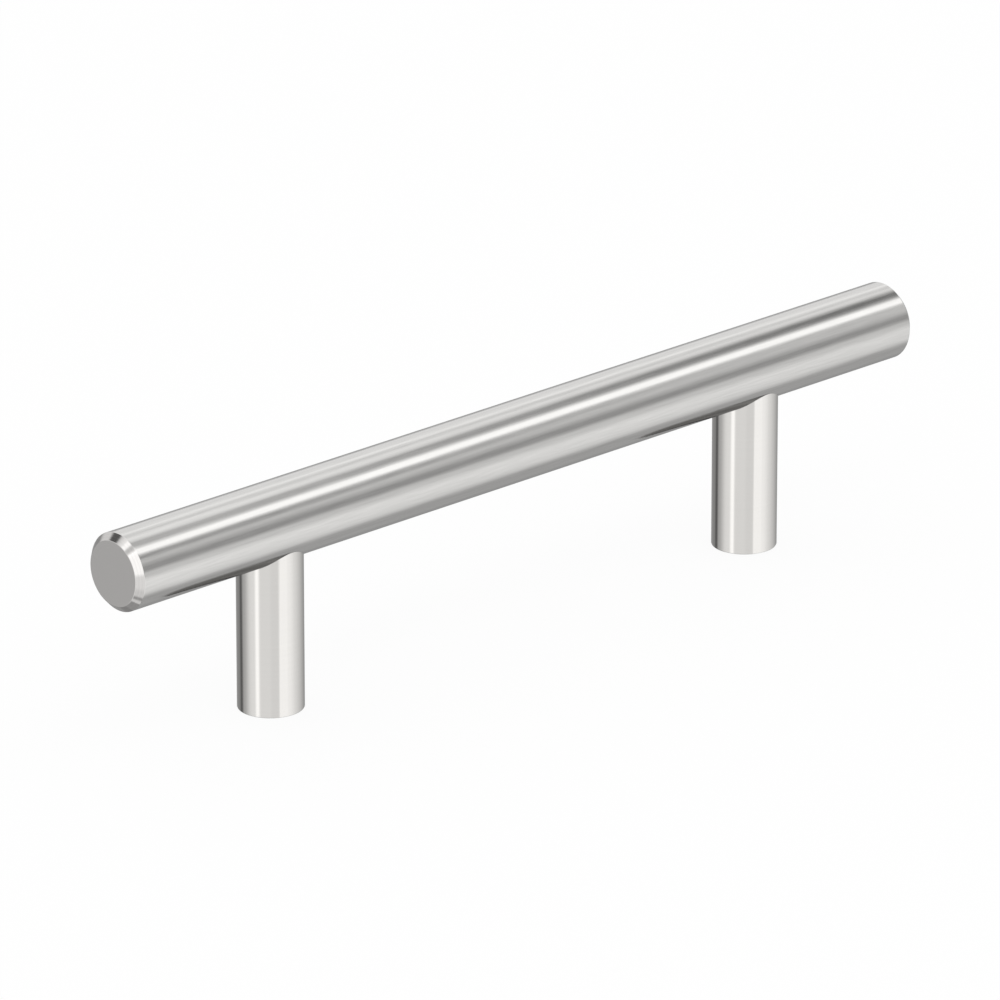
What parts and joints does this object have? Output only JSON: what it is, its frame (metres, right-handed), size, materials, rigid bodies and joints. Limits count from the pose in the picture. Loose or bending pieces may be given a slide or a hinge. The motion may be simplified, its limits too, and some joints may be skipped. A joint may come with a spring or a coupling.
{
  "type": "t bar cabinet pull",
  "caption": "Straight round bar pull with chamfered ends, carried on round posts whose threaded feet fix it to a cabinet door or a drawer front.",
  "frame": {"origin": "centre of the mounting plane, midway between the feet, on the face of the door", "axes": "+X along the bar, +Y across it, +Z away from the door"},
  "size_m": [0.156, 0.012, 0.035],
  "materials": {
    "bar_steel": "satin, brushed along the bar",
    "post_steel": "bright, fine turned",
    "stud_steel": "plain set screw, dull"
  },
  "bodies": {
    "root": {"bar": "bar_steel", "post_left": "post_steel", "post_right": "post_steel", "stud_left": "stud_steel", "stud_right": "stud_steel"}
  },
  "joints": []
}
